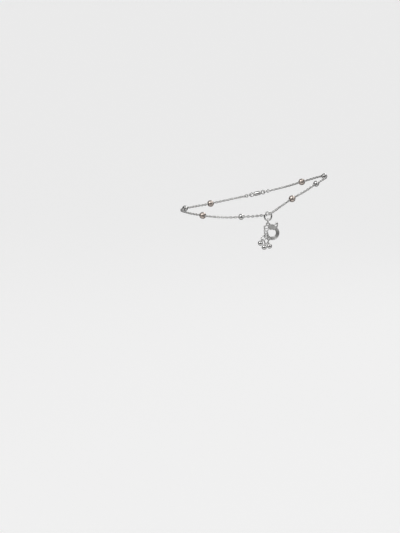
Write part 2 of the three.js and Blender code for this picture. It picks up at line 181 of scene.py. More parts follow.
def joined(surfaces: Sequence[Surface]) -> Surface:
    """Several surfaces of four-cornered faces as one."""
    starts = np.cumsum([0] + [len(s.points) for s in surfaces[:-1]])
    faces = np.vstack([s.faces + start for s, start in zip(surfaces, starts)])
    return Surface(np.vstack([s.points for s in surfaces]), faces)


def wrapped_grid(points: Array) -> Surface:
    """A closed skin over a grid of points that wraps round both ways.

    Args:
        points: Shape (n, m, 3), n stations along a closed path and m points round each section.

    Returns:
        The skin, whose faces point outwards where each section runs from the path's own side
        vector towards side cross heading.
    """
    n, m = points.shape[:2]
    i, j = np.meshgrid(np.arange(n), np.arange(m), indexing="ij")
    i2, j2 = (i + 1) % n, (j + 1) % m
    corners = [i * m + j, i2 * m + j, i2 * m + j2, i * m + j2]
    return Surface(points.reshape(-1, 3), np.stack(corners, axis=-1).reshape(-1, 4))


@dataclass(frozen=True)
class RoundRing:
    """A ring of round wire about its own z axis: the radius of the wire's middle, and the wire."""

    radius: float
    wire: float

    @property
    def bore(self) -> float:
        """The radius of its hole."""
        return self.radius - self.wire / 2

    def surface(self, steps: int = 72, sides: int = 18) -> Surface:
        """Its skin: (radius + r cos v) times (cos u, sin u), with height r sin v, r half the wire."""
        u = np.arange(steps)[:, None] * 2 * np.pi / steps
        v = np.arange(sides)[None, :] * 2 * np.pi / sides
        reach = self.radius + self.wire / 2 * np.cos(v)
        height = np.broadcast_to(self.wire / 2 * np.sin(v), (steps, sides))
        return wrapped_grid(np.stack([reach * np.cos(u), reach * np.sin(u), height], axis=-1))

    def distance(self, p: Array) -> Array:
        """Distance to it, below zero inside its wire."""
        return np.hypot(np.hypot(p[:, 0], p[:, 1]) - self.radius, p[:, 2]) - self.wire / 2


def oval_link_surface(
    length: float, width: float, wire: float, steps: int, sides: int
) -> Surface:
    """An oval link of round wire in its own xy plane, with its length along y.

    The wire's axis is (a cos u, b sin u). The section lies across it: the side vector is the
    axis's outward normal (b cos u, a sin u) at unit length, and the height is r sin v.
    """
    a, b = (width - wire) / 2, (length - wire) / 2
    u = np.arange(steps)[:, None] * 2 * np.pi / steps
    v = np.arange(sides)[None, :] * 2 * np.pi / sides
    side = unit(np.stack([b * np.cos(u), a * np.sin(u)], axis=-1))
    axis = np.stack([a * np.cos(u), b * np.sin(u)], axis=-1)
    flat = axis + side * (wire / 2 * np.cos(v))[..., None]
    height = np.broadcast_to(wire / 2 * np.sin(v), (steps, sides))
    return wrapped_grid(np.concatenate([flat, height[..., None]], axis=-1))


def turned_surface(profile: Array, steps: int) -> Surface:
    """A closed profile of (radius, height) pairs turned about the y axis.

    A point is (r cos u, y, -r sin u). The profile runs anticlockwise, out from the axis, up and
    back, so that the faces point outwards.
    """
    u = np.arange(steps)[:, None] * 2 * np.pi / steps
    radius, height = profile[None, :, 0], profile[None, :, 1]
    shape = (steps, profile.shape[0])
    return wrapped_grid(
        np.stack(
            [radius * np.cos(u), np.broadcast_to(height, shape), -radius * np.sin(u)], axis=-1
        )
    )


# Shapes as distances: below zero inside, above zero outside


def smooth_min(a: Array, b: Array, blend: float) -> Array:
    """The lesser of two distances, with a fillet of this width where they meet."""
    h = np.clip(0.5 + 0.5 * (b - a) / blend, 0, 1)
    return b * (1 - h) + a * h - blend * h * (1 - h)


def smooth_max(a: Array, b: Array, blend: float) -> Array:
    """The greater of two distances, with a rounding of this width where they meet."""
    return -smooth_min(-a, -b, blend)


def bar_distance(p: Array, start: Array, end: Array, r0: float, r1: float) -> Array:
    """Distance in the plane to a bar with round ends, whose half width runs from r0 to r1."""
    along = end - start
    share = np.clip((p - start) @ along / (along @ along), 0, 1)
    return np.linalg.norm(p - start - share[:, None] * along, axis=1) - (r0 + (r1 - r0) * share)


def polygon_distance(p: Array, corners: Array) -> Array:
    """Signed distance in the plane to a polygon: the nearest side, and even-odd inside test."""
    distance = np.full(len(p), np.inf)
    inside = np.zeros(len(p), dtype=bool)
    for start, end in zip(corners, np.roll(corners, -1, axis=0)):
        distance = np.minimum(distance, bar_distance(p, start, end, 0, 0))
        if start[1] != end[1]:
            above = (start[1] > p[:, 1]) != (end[1] > p[:, 1])
            cut = start[0] + (p[:, 1] - start[1]) * (end[0] - start[0]) / (end[1] - start[1])
            inside ^= above & (p[:, 0] < cut)
    return np.where(inside, -distance, distance)


def slab_distance(flat: Array, z: Array, half: Array | float, edge: float) -> Array:
    """Distance to a flat shape with this half thickness, with its edges rounded by edge."""
    across = flat + edge
    over = np.abs(z) - half + edge
    outside = np.hypot(np.maximum(across, 0), np.maximum(over, 0))
    return outside + np.minimum(np.maximum(across, over), 0) - edge


def slope(shape: Field, p: Array, reach: float) -> Array:
    """The gradient of a distance by central differences over this reach."""
    steps = np.eye(3) * reach
    return np.stack([(shape(p + s) - shape(p - s)) / (2 * reach) for s in steps], axis=-1)


# How often a skin's points slide on to it, the least squared slope that a slide goes by, and how far
# off the skin is felt for recesses
SKIN_SLIDES = 4
LEAST_SLOPE = 0.2
RECESS_REACHES = (0.12, 0.25, 0.45)


def skin_of(shape: Field, low: Array, high: Array, step: float) -> Surface:
    """The skin where a distance is zero, by surface nets.

    Each cell of a grid whose corners differ in sign gets one point, the mean of the crossings on
    its edges. Each grid edge that crosses the skin gets a face between its four cells. The points
    then slide along the gradient on to the skin. A point's recess is how much nearer the skin
    stays than it would over a flat place, on stepping off along the normal.

    Args:
        shape: The distance.
        low: Lowest corner of the grid, outside the shape.
        high: Highest corner, outside the shape.
        step: The grid's spacing.

    Returns:
        The closed skin, with its recess.
    """
    counts = np.ceil((high - low) / step).astype(int) + 1
    axes = [low[i] + step * np.arange(counts[i]) for i in range(3)]
    places = np.stack(np.meshgrid(*axes, indexing="ij"), axis=-1)
    values = shape(places.reshape(-1, 3)).reshape(counts)
    inside = values < 0
    cells = counts - 1

    def corner(array: Array, offset: Sequence[int]) -> Array:
        """The values at one corner of every cell."""
        cut = tuple(slice(o, o + c) for o, c in zip(offset, cells))
        return array[cut]

    offsets = [(i, j, k) for i in (0, 1) for j in (0, 1) for k in (0, 1)]
    held = sum(corner(inside, o).astype(int) for o in offsets)
    active = (held > 0) & (held < 8)
    index = np.full(cells, -1)
    index[active] = np.arange(active.sum())
    total = np.zeros((active.sum(), 3))
    number = np.zeros(active.sum())
    for axis in range(3):
        for start in (o for o in offsets if o[axis] == 0):
            end = tuple(o + (i == axis) for i, o in enumerate(start))
            a, b = corner(values, start)[active], corner(values, end)[active]
            crossed = (a < 0) != (b < 0)
            share = np.where(crossed, a / np.where(crossed, a - b, 1), 0)
            place = np.tile(np.array(start, dtype=float), (len(a), 1))
            place[:, axis] += share
            total += place * crossed[:, None]
            number += crossed
    points = low + step * (np.argwhere(active) + total / number[:, None])
    faces = []
    for axis in range(3):
        b, c = (axis + 1) % 3, (axis + 2) % 3
        lower = np.take(inside, np.arange(counts[axis] - 1), axis=axis)
        upper = np.take(inside, np.arange(1, counts[axis]), axis=axis)
        for leaving in (True, False):
            edges = np.argwhere((lower & ~upper) if leaving else (upper & ~lower))
            around = []
            for db, dc in ((-1, -1), (0, -1), (0, 0), (-1, 0)):
                cell = edges.copy()
                cell[:, b] += db
                cell[:, c] += dc
                around.append(index[tuple(cell.T)])
            faces.append(np.stack(around if leaving else around[::-1], axis=-1))
    for _ in range(SKIN_SLIDES):
        gradient = slope(shape, points, step / 4)
        size = np.sum(gradient**2, axis=1, keepdims=True)
        shift = shape(points)[:, None] * gradient / np.maximum(size, LEAST_SLOPE)
        points = points - np.clip(shift, -step / 3, step / 3)
    normal = unit(slope(shape, points, step / 2) + 1e-9)
    open_share = [np.clip(shape(points + normal * r) / r, 0, 1) for r in RECESS_REACHES]
    return Surface(points, np.vstack(faces), 1 - np.mean(open_share, axis=0))


# Nodes


class Shade:
    """One output socket of a node tree. Arithmetic on it adds Math nodes."""

    def __init__(self, nodes: NodeTree, socket: bpy.types.NodeSocket) -> None:
        """Keeps the tree's builder and the socket."""
        self.nodes = nodes
        self.socket = socket

    def _math(self, operation: str, *values: Shade | float) -> Shade:
        """A Math node on these values."""
        return self.nodes.add("ShaderNodeMath", dict(enumerate(values)), operation=operation)

    def __add__(self, other: Shade | float) -> Shade:
        """This plus other."""
        return self._math("ADD", self, other)

    __radd__ = __add__

    def __sub__(self, other: Shade | float) -> Shade:
        """This less other."""
        return self._math("SUBTRACT", self, other)

    def __rsub__(self, other: Shade | float) -> Shade:
        """Other less this."""
        return self._math("SUBTRACT", other, self)

    def __mul__(self, other: Shade | float) -> Shade:
        """This times other."""
        return self._math("MULTIPLY", self, other)

    __rmul__ = __mul__

    def eased(self, low: float, high: float) -> Shade:
        """0 below low, 1 above high, and a smooth rise between them."""
        span = {"Value": self, "From Min": low, "From Max": high}
        return self.nodes.add("ShaderNodeMapRange", span, interpolation_type="SMOOTHSTEP")


class NodeTree:
    """Adds nodes to one tree."""

    def __init__(self, tree: bpy.types.NodeTree) -> None:
        """Starts with an empty tree."""
        self.tree = tree
        tree.nodes.clear()

    def add(
        self,
        kind: str,
        inputs: dict[str | int, object] | None = None,
        output: str | int = 0,
        **settings: object,
    ) -> Shade:
        """Adds one node.

        Args:
            kind: The node's type.
            inputs: For each input, a value or another node's Shade.
            output: Which output to give back.
            **settings: The node's own settings, set first.

        Returns:
            The chosen output.
        """
        node = self.tree.nodes.new(kind)
        for name, value in settings.items():
            setattr(node, name, value)
        for name, value in (inputs or {}).items():
            if isinstance(value, Shade):
                self.tree.links.new(value.socket, node.inputs[name])
            else:
                node.inputs[name].default_value = value
        return Shade(self, node.outputs[output]) if node.outputs else Shade(self, None)

    def mixed(self, share: Shade | float, a: object, b: object) -> Shade:
        """Colour a where share is 0 and colour b where it is 1."""
        return self.add("ShaderNodeMix", {0: share, 6: a, 7: b}, 2, data_type="RGBA")

    def noise(self, place: Shade, size_mm: float, detail: float) -> Shade:
        """Noise from 0 to 1 on object coordinates, with lumps of about this size."""
        lumps = {"Vector": place, "Scale": 1 / (size_mm * MM), "Detail": detail}
        return self.add("ShaderNodeTexNoise", lumps)

    def seen_or_mirrored(self, seen: Shade, mirrored: Shade) -> Shade:
        """One shader where the camera looks straight at it, and another where metal mirrors it."""
        direct = self.add("ShaderNodeLightPath", output="Is Camera Ray")
        return self.add("ShaderNodeMixShader", {0: direct, 1: mirrored, 2: seen})


# Finishes


@dataclass(frozen=True)
class MetalFinish:
    """A metal: its colour, its duller film, its polish, and how dark it is in recesses."""

    name: str
    slot: str
    colour: Triple
    film: Triple
    roughness: float
    film_share: float

    # The recess at which the dark begins and is whole. The first values are past any recess
    recess_from: float = 1.0
    recess_to: float = 2.0
    dark: Triple = (0.02, 0.02, 0.02)
    dent: float = 0.004

    # Sizes of the lumps of film, scratches and dents in millimetres, and where film begins and ends
    film_size: float = 2.6
    film_edges: Pair = (0.42, 0.72)
    scratch_size: float = 0.11
    dent_size: float = 0.9

    # How much duller each makes the metal, and how deep a scratch is beside a dent
    scratch_dulls: float = 0.06
    film_dulls: float = 0.07
    recess_dulls: float = 0.3
    scratch_depth: float = 0.12
    dent_strength: float = 0.6

    def material(self) -> bpy.types.Material:
        """Builds the material.

        A film of tarnish in soft patches tints the colour and dulls the polish. Where the recess
        attribute is high, the metal is black with old oxide. Fine scratches and small dents are
        bump.

        Returns:
            The material, made once and then reused.
        """
        made = bpy.data.materials.get(self.name)
        if made:
            return made
        made = bpy.data.materials.new(self.name)
        made.use_nodes = True
        made.diffuse_color = (*self.colour, 1)
        nodes = NodeTree(made.node_tree)
        place = nodes.add("ShaderNodeTexCoord", output="Object")
        patches = nodes.noise(place, self.film_size, 3.0).eased(*self.film_edges)
        scratches = nodes.noise(place, self.scratch_size, 1.0)
        dents = nodes.noise(place, self.dent_size, 1.0)
        depth = nodes.add("ShaderNodeAttribute", output="Fac", attribute_name="recess")
        recess = depth.eased(self.recess_from, self.recess_to)
        tinted = nodes.mixed(patches * self.film_share, (*self.colour, 1), (*self.film, 1))
        colour = nodes.mixed(recess, tinted, (*self.dark, 1))
        polish = self.roughness + scratches * self.scratch_dulls
        polish = polish + patches * self.film_dulls + recess * self.recess_dulls
        height = dents + scratches * self.scratch_depth
        bump = {"Height": height, "Distance": self.dent * MM, "Strength": self.dent_strength}
        looks = {"Base Color": colour, "Roughness": polish, "Metallic": 1.0}
        looks["Normal"] = nodes.add("ShaderNodeBump", bump)
        shader = nodes.add("ShaderNodeBsdfPrincipled", looks)
        nodes.add("ShaderNodeOutputMaterial", {"Surface": shader})
        return made


SILVER = MetalFinish(
    name="polished_silver",
    slot="silver",
    colour=(0.93, 0.925, 0.915),
    film=(0.72, 0.705, 0.68),
    roughness=0.09,
    film_share=0.35,
)
ROSE_GOLD = MetalFinish(
    name="rose_gold",
    slot="rose_gold",
    colour=(0.93, 0.82, 0.75),
    film=(0.80, 0.66, 0.57),
    roughness=0.1,
    film_share=0.35,
)
CAST_SILVER = MetalFinish(
    name="cast_silver",
    slot="dark_silver",
    colour=(0.88, 0.875, 0.865),
    film=(0.66, 0.65, 0.635),
    roughness=0.38,
    film_share=0.5,
    recess_from=0.14,
    recess_to=0.7,
    dark=(0.07, 0.068, 0.065),
    dent=0.012,
)


def put(name: str, surface: Surface, finish: MetalFinish, body: Body, *nodes: str) -> None:
    """Makes a piece from a surface, dresses it, and has it stand for its solids.

    Args:
        name: The piece's name.
        surface: Its surface, in millimetres in the frame.
        finish: Its finish.
        body: The body that it moves with.
        *nodes: The solids that it stands for.
    """
    mesh = bpy.data.meshes.new(name)
    corners = surface.faces.shape[1]
    count = len(surface.faces)
    mesh.vertices.add(len(surface.points))
    mesh.vertices.foreach_set("co", (surface.points * MM).astype(np.float32).ravel())
    mesh.loops.add(count * corners)
    mesh.loops.foreach_set("vertex_index", surface.faces.astype(np.int32).ravel())
    mesh.polygons.add(count)
    mesh.polygons.foreach_set("loop_start", np.arange(count, dtype=np.int32) * corners)
    mesh.polygons.foreach_set("use_smooth", np.ones(count, dtype=bool))
    mesh.update(calc_edges=True)
    if surface.recess is not None:
        depth = mesh.attributes.new("recess", "FLOAT", "POINT")
        depth.data.foreach_set("value", surface.recess.astype(np.float32))
    mesh.materials.append(finish.material())
    piece = bpy.data.objects.new(name, mesh)
    bpy.context.scene.collection.objects.link(piece)
    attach(piece, body.value)
    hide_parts(*nodes)
    LOG.info("%s: %d faces for %s", name, count, ", ".join(nodes))


# Gaps: between hanging pieces, between the two rings that swing on each other, and round a ring in
# an eye of the charm
HANG_GAP = 0.12
SWING_GAP = 0.26
EYE_GAP = 0.2

CHAIN_WIDTH = 1.55


def linked(a: RoundRing, b: RoundRing) -> float:
    """How far apart the centres of two linked and pulled rings lie."""
    return a.bore + b.bore - HANG_GAP


# The clasp


@dataclass
class Clasp:
    """A plain barrel between two eyes, with a ring in each eye."""

    centre: Triple = (3, 30.6, -2.9)
    length: float = 7
    barrel: float = 2.6
    eye: RoundRing = RoundRing(1.1, 0.7)
    ring: RoundRing = RoundRing(1.3, 0.6)
    end_link: RoundRing = RoundRing(0.9, 0.45)
    blend: float = 0.25
    skin_step: float = 0.12
    skin_reach: Triple = (1.9, 5.4, 1.6)

    def axis(self) -> Array:
        """The way from the chain's last bend to its first one."""
        return unit(CHAIN_ROUTE[0] - CHAIN_ROUTE[-1])

    def up(self) -> Array:
        """The way up, square to the axis."""
        return unit(UP - self.axis() * self.axis()[2])

    def across(self) -> Array:
        """The way across, square to the axis and to the way up."""
        return np.cross(self.axis(), self.up())

    def on_axis(self, offset: float) -> Array:
        """A point on the axis, this far from the middle."""
        return vector(*self.centre) + self.axis() * offset

    def ring_offset(self) -> float:
        """How far from the middle the two rings' centres lie."""
        return self.length / 2 + linked(self.eye, self.ring)

    def link_offset(self) -> float:
        """How far from the middle the chain's end links lie."""
        return self.ring_offset() + linked(self.ring, self.end_link)

    def shape(self, p: Array) -> Array:
        """Distance to the barrel, a round-ended rod along y, blended into its two eyes."""
        half = self.length / 2 - self.eye.radius - self.barrel / 2
        beyond = np.maximum(np.abs(p[:, 1]) - half, 0)
        rod = np.sqrt(p[:, 0] ** 2 + p[:, 2] ** 2 + beyond**2) - self.barrel / 2
        folded = p * vector(1, 0, 1) + np.abs(p[:, 1:2]) * vector(0, 1, 0)
        eye = self.eye.distance(folded - vector(0, self.length / 2, 0))
        return smooth_min(rod, eye, self.blend)

    def build(self) -> None:
        """Makes the barrel and the two rings."""
        reach = vector(*self.skin_reach)
        barrel = skin_of(self.shape, -reach, reach, self.skin_step)
        placed = barrel.placed(self.on_axis(0), self.axis(), self.across())
        put("clasp_barrel", placed, SILVER, Body.ANKLET, "clasp")
        for end, offset in (("a", self.ring_offset()), ("b", -self.ring_offset())):
            placed = self.ring.surface().placed(self.on_axis(offset), self.axis(), self.up())
            put(f"clasp_end_ring_{end}", placed, SILVER, Body.ANKLET, f"clasp_ring_{end}")


# The chain's route, the same as in the part: from the clasp by the right end to the near side, then
# by the left end back to the clasp
CHAIN_ROUTE = np.array(
    [
        (20, 26.9, 1.6), (33, 19.2, 6.4), (41.2, 9, 9.9), (43.1, 0, 10.2),
        (41.4, -7.6, 9.8), (36.63, -14.9, 7.84), (30, -21, 4.1), (22.08, -26, 0.2),
        (14.4, -29.7, -4.6), (9.9, -31.75, -7.5), (7.88, -31, -8.57), (5.6, -30.3, -8.95),
        (0, -30.9, -9.55), (-8.1, -30.5, -9.95), (-14, -29.4, -10.4), (-24, -25.6, -10.5),
        (-30.42, -21.9, -10.13), (-39, -12.2, -9.8), (-43.08, 0, -9.6), (-39.4, 12.4, -9.6),
        (-28.5, 23.4, -8.9), (-14, 29.7, -6.5),
    ],
    dtype=float,
)


@dataclass
class CableChain:
    """Oval links of round wire, each turned a quarter against the one before."""

    clasp: Clasp
    width: float = CHAIN_WIDTH
    link_length: float = 2.28
    wire: float = 0.5
    link_steps: int = 12
    wire_sides: int = 6
    end_link_steps: int = 24
    end_link_sides: int = 8

    # Shares of the chain's length and how far it has twisted there, in degrees: at 0 the links lie
    # flat on and edge on by turns, and at 45 they all lie aslant
    twists: tuple[Pair, ...] = (
        (0, 20), (0.2, 55), (0.3, 42), (0.37, 45), (0.42, 20), (0.47, 4), (0.52, -2),
        (0.555, 6), (0.59, -3), (0.61, 40), (0.66, 8), (0.75, 44), (0.88, 90), (1, 60),
    )

    def route(self) -> Route:
        """The chain's axis between its two end links."""
        reach = self.clasp.link_offset() + self.clasp.end_link.radius
        ends = self.clasp.on_axis(reach), self.clasp.on_axis(-reach)
        return Route.through(np.vstack([ends[0], CHAIN_ROUTE, ends[1]]))

    def links(self, route: Route) -> Surface:
        """Every link of the chain, hooked into one another and into the two end links."""
        clasp = self.clasp
        pitch = self.link_length - 2 * self.wire
        first = clasp.end_link.bore - self.wire + self.link_length / 2 - clasp.end_link.radius
        run = route.length - 2 * first
        count = round(run / pitch) + 1
        distance = first + np.arange(count) * run / (count - 1)
        heading = route.heading(distance)
        side = unit(np.cross(heading, UP))
        top = np.cross(side, heading)
        shares, degrees = np.array(self.twists, dtype=float).T
        roll = np.interp(distance / route.length, shares, degrees) + 90 * (np.arange(count) % 2)
        roll = np.radians(roll)[:, None]
        normal = side * np.cos(roll) + top * np.sin(roll)
        link = oval_link_surface(
            self.link_length, self.width, self.wire, self.link_steps, self.wire_sides
        )
        return link.repeated(route.at(distance), heading, normal)

    def build(self) -> None:
        """Makes the chain as one piece."""
        route = self.route()
        clasp = self.clasp
        end_link = clasp.end_link.surface(self.end_link_steps, self.end_link_sides)
        ends = [
            end_link.placed(clasp.on_axis(offset), clasp.axis(), clasp.across())
            for offset in (clasp.link_offset(), -clasp.link_offset())
        ]
        put("cable_chain", joined([self.links(route), *ends]), SILVER, Body.ANKLET, "chain")


# The beads


@dataclass(frozen=True)
class Bead:
    """A polished ball drilled for the chain, with a softened edge at its two mouths."""

    name: str
    size: float
    share: float
    finish: MetalFinish
    chain_gap: float = 0.24
    lip: float = 0.16
    lip_steps: int = 5
    arc_steps: int = 30
    turn_steps: int = 56

    def profile(self) -> Array:
        """The closed outline: the ball's arc, a small curve over each lip, and the bore."""
        radius = self.size / 2
        bore = CHAIN_WIDTH / 2 + self.chain_gap
        edge = math.asin((bore + self.lip) / radius)
        angle = np.linspace(edge, np.pi - edge, self.arc_steps)
        arc = np.stack([radius * np.sin(angle), -radius * np.cos(angle)], axis=-1)
        share = np.linspace(0, 1, self.lip_steps + 1)[1:, None]
        corner = np.array([bore, math.sqrt(radius**2 - bore**2)])
        inside = np.array([bore, corner[1] - self.lip])
        top = (1 - share) ** 2 * arc[-1] + 2 * share * (1 - share) * corner + share**2 * inside
        bottom = top[::-1] * [1, -1]
        return np.vstack([arc, top, bottom])

    def build(self, route: Route) -> None:
        """Threads the bead on the chain."""
        distance = np.array([self.share * route.length])
        ball = turned_surface(self.profile(), self.turn_steps)
        placed = ball.placed(route.at(distance)[0], route.heading(distance)[0], UP)
        put(f"{self.name}_ball", placed, self.finish, Body.ANKLET, self.name)


BEADS = (
    Bead("bead_rose_1", 4, 0.098, ROSE_GOLD),
    Bead("bead_silver_1", 3.5, 0.196, SILVER),
    Bead("bead_silver_2", 3.5, 0.293, SILVER),
    Bead("bead_rose_2", 4, 0.382, ROSE_GOLD),
    Bead("bead_silver_3", 3.5, 0.533, SILVER),
    Bead("bead_rose_3", 4, 0.641, ROSE_GOLD),
    Bead("bead_silver_4", 3.5, 0.8, SILVER),
    Bead("bead_rose_4", 4, 0.9, ROSE_GOLD),
)


# The jump ring


@dataclass
class JumpRing:
    """The big ring that the chain runs through and the pendant hangs from."""

    ring: RoundRing = RoundRing(2.5, 0.92)
    turn: float = 32
    over: Triple = (7.88, -30.75, -8.57)
    chain_gap: float = 0.3
    steps: int = 96
    sides: int = 24

    def centre(self) -> Array:
        """The ring's centre, below the chain's axis."""
        below = self.ring.bore - CHAIN_WIDTH / 2 - self.chain_gap
        return vector(*self.over) - UP * below

    def build(self) -> None:
        """Makes the ring."""
        turn = math.radians(self.turn)
        normal = vector(math.sin(turn), -math.cos(turn), 0)
        ring = self.ring.surface(self.steps, self.sides)
        placed = ring.placed(self.centre(), UP, normal)
        put("jump_ring", placed, SILVER, Body.ANKLET, "charm_ring")


# The charm


@dataclass
class BellSlot:
    """The left bell ring, and the slanted slot of the charm that it hangs in."""

    x: float = -2.47
    y: float = -8.19
    ring: RoundRing = RoundRing(1.55, 0.56)
    tilt: float = 45
    bearing: float = 32
    wall: float = 0.5
    plate: float = 0.7

    def along(self) -> Array:
        """From the ring's centre to the slot, in the charm's plane."""
        bearing = math.radians(self.bearing)
        return vector(math.cos(bearing), math.sin(bearing), 0)

    def across(self) -> Array:
        """Square to that, in the charm's plane, and downwards."""
        bearing = math.radians(self.bearing)
        return vector(math.sin(bearing), -math.cos(bearing), 0)

    def down(self) -> Array:
        """The ring's own way down, which leans to the front."""
        tilt = math.radians(self.tilt)
        return self.across() * math.cos(tilt) + vector(0, 0, math.sin(tilt))

    def outline(self, p: Array) -> Array:
        """Distance in the plane to the slot."""
        tilt = math.radians(self.tilt)
        bore = self.ring.bore - EYE_GAP
        near = math.sqrt(bore**2 - (self.plate / 2 / math.sin(tilt)) ** 2)
        far = self.ring.radius + self.ring.wire / 2 + EYE_GAP
        slant = self.plate / 2 / math.tan(tilt) + self.ring.wire / 2 / math.sin(tilt)
        half = (far - near) / 2
        reach = slant + EYE_GAP - half
        middle = vector(self.x, self.y) + self.along()[:2] * (near + far) / 2
        across = self.across()[:2] * reach
        return bar_distance(p, middle - across, middle + across, half, half)


@dataclass
class Charm:
    """The flat pierced casting. Its own x points right, y up and z to the front.

    Its places are measured from its eyelet's hole. Each part is a flat outline with a thickness
    that swells into ribs, and the parts melt into each other as cast metal does.
    """

    # Thicknesses, how high the ribs stand and how deep the crescent's grooves go, and how wide the
    # fillets are where metal melts together
    thick: float = 1.1
    eye_thick: float = 0.7
    scroll_thick: float = 0.78
    relief: float = 0.22
    groove: float = 0.12
    melt: float = 0.1
    bar_melt: float = 0.14
    bar_round: float = 0.85

    # The eyelet, whose neck narrows from a share of its own width to a round tip
    eyelet_hole: float = 0.65
    eyelet_wall: float = 0.55
    eyelet_tip: float = 1.48
    eyelet_tip_radius: float = 0.2
    eyelet_neck: float = 0.9
    eyelet_edge: float = 0.22

    # The crescent: its centre, its two radii, and its ends in degrees
    crescent: Pair = (2.47, -5.16)
    crescent_outer: float = 4.23
    crescent_inner: float = 2.2
    crescent_start: float = -128
    crescent_end: float = 47
    crescent_ribs: int = 3
    crescent_rib_power: float = 0.6
    crescent_edge: float = 0.22

    # The boat: its ribs, and how much of a rib is over, in all and at its top
    boat_ribs: int = 4
    boat_rib_over: float = 0.5
    boat_rib_start: float = 0.25
    boat_edge: float = 0.18
    scallop_edge: float = 0.35

    # The leaf is drawn in to a share of its size and grown again. The stem's start, end and width
    leaf_share: float = 0.74
    leaf_growth: float = 0.17
    leaf_edge: float = 0.5
    stem: tuple[float, ...] = (5.1, -2.0, 5.6, -0.4, 0.7)

    # The eye of the right bell ring
    right_eye: Pair = (0.41, -8.72)
    right_eye_hole: float = 0.56
    right_eye_wall: float = 0.46
    eye_edge: float = 0.2

    # The grid that the skin is found on
    skin_step: float = 0.065
    skin_low: Triple = (-4.6, -10.4, -1.1)
    skin_high: Triple = (7.1, 1.9, 1.1)

    # The places where the bars of the pierced side meet, and the bars between them: from, to and
    # width
    joints: dict[str, Pair] = field(
        default_factory=lambda: {
            "top_left": (-2.03, -1.4), "shoulder": (-1.0, -0.8), "top_right": (0.2, -1.05),
            "leg_top": (0.8, 0.5), "leg_foot": (1.6, -0.45), "upper_left": (-1.97, -2.9),
            "upper_right": (0.6, -2.05), "middle_left": (-2.02, -3.9), "fork": (-0.6, -4.15),
            "fork_right": (0.75, -2.7), "lower_left": (-1.85, -5.7), "lower_right": (-0.2, -5.5),
            "heel_top": (0.1, -6.5), "heel": (0.9, -7.8),
        }
    )
    scrolls: tuple[tuple[str, str, float], ...] = (
        ("shoulder", "top_left", 0.62), ("shoulder", "top_right", 0.62),
        ("leg_top", "leg_foot", 0.5), ("top_left", "upper_left", 0.5),
        ("upper_left", "middle_left", 0.5), ("middle_left", "lower_left", 0.55),
        ("upper_left", "upper_right", 0.5), ("middle_left", "fork", 0.45),
        ("fork", "fork_right", 0.55), ("fork", "lower_right", 0.6),
        ("lower_left", "lower_right", 0.5), ("lower_right", "heel_top", 0.75),
        ("heel_top", "heel", 1.0),
    )

    # Start x and y, end x and y, and width of each rim on the boat's underside
    rims: tuple[tuple[float, ...], ...] = (
        (0.3, -1.75, 1.35, -2.95, 0.42),
        (3.55, -3.05, 4.95, -2.3, 0.42),
    )

    # Centre and radius of each disc on the boat's underside
    scallops: tuple[tuple[float, ...], ...] = ((1.75, -2.98, 0.5), (3.1, -2.98, 0.5))

    # Corners of the boat, and of the leaf that stands over its right end
    boat: tuple[Pair, ...] = (
        (0.3, -0.9), (1.35, -0.15), (3.55, -0.2), (4.2, -1.05), (5.1, -1.6),
        (5.0, -2.5), (3.6, -3.05), (1.2, -3.05), (0.2, -2.05),
    )
    leaf: tuple[Pair, ...] = (
        (5.0, 1.35), (4.4, 0.65), (3.8, 0.0), (3.85, -0.4), (4.6, -0.1),
        (5.1, -0.15), (5.6, -0.55), (5.95, 0.1), (5.95, 0.85), (5.5, 1.5),
    )

    # Centre and size of each grain
    grains: tuple[Triple, ...] = (
        (-2.05, -1.42, 1.06), (-2.0, -2.4, 0.96), (-2.02, -3.9, 1.04),
        (-1.92, -5.38, 1.04), (-0.3, -4.9, 0.96),
    )
    slot: BellSlot = field(default_factory=BellSlot)

    def crescent_shape(self, p: Array, z: Array) -> Array:
        """A band along an arc, whose thickness rises and falls in even ribs across its width."""
        from_centre = p - self.crescent
        radius = np.linalg.norm(from_centre, axis=1)
        angle = np.degrees(np.arctan2(from_centre[:, 1], from_centre[:, 0]))
        nearest = np.radians(np.clip(angle, self.crescent_start, self.crescent_end))
        middle = (self.crescent_outer + self.crescent_inner) / 2
        spine = self.crescent + middle * np.stack([np.cos(nearest), np.sin(nearest)], axis=-1)
        within = (angle >= self.crescent_start) & (angle <= self.crescent_end)
        width = self.crescent_outer - self.crescent_inner
        along = np.where(within, np.abs(radius - middle), np.linalg.norm(p - spine, axis=1))
        wave = (radius - self.crescent_inner) / width * self.crescent_ribs
        ridge = np.abs(np.sin(np.pi * wave)) ** self.crescent_rib_power
        half = self.thick / 2 - self.groove + (self.relief + self.groove) * ridge
        return slab_distance(along - width / 2, z, half, self.crescent_edge)

    def boat_shape(self, p: Array, z: Array) -> Array:
        """The boat: a flat-topped hull whose thickness rises and falls in level ribs."""
        corners = np.array(self.boat)
        top, bottom = corners[:, 1].max(), corners[:, 1].min()
        pitch = (top - bottom) / (self.boat_ribs + self.boat_rib_over)
        wave = (top - p[:, 1]) / pitch - self.boat_rib_start
        ridge = np.abs(np.sin(np.pi * wave))
        half = self.thick / 2 + self.relief * ridge
        return slab_distance(polygon_distance(p, corners), z, half, self.boat_edge)

    def bars_shape(
        self, p: Array, z: Array, bars: Sequence[Sequence[float]], half: float
    ) -> Array:
        """Bars of nearly round section, melted together where they meet."""
        whole = np.full(len(p), np.inf)
        for x0, y0, x1, y1, width in bars:
            flat = bar_distance(p, vector(x0, y0), vector(x1, y1), width / 2, width / 2)
            one = slab_distance(flat, z, half, min(width / 2, half) * self.bar_round)
            whole = smooth_min(whole, one, self.bar_melt) if np.isfinite(whole[0]) else one
        return whole

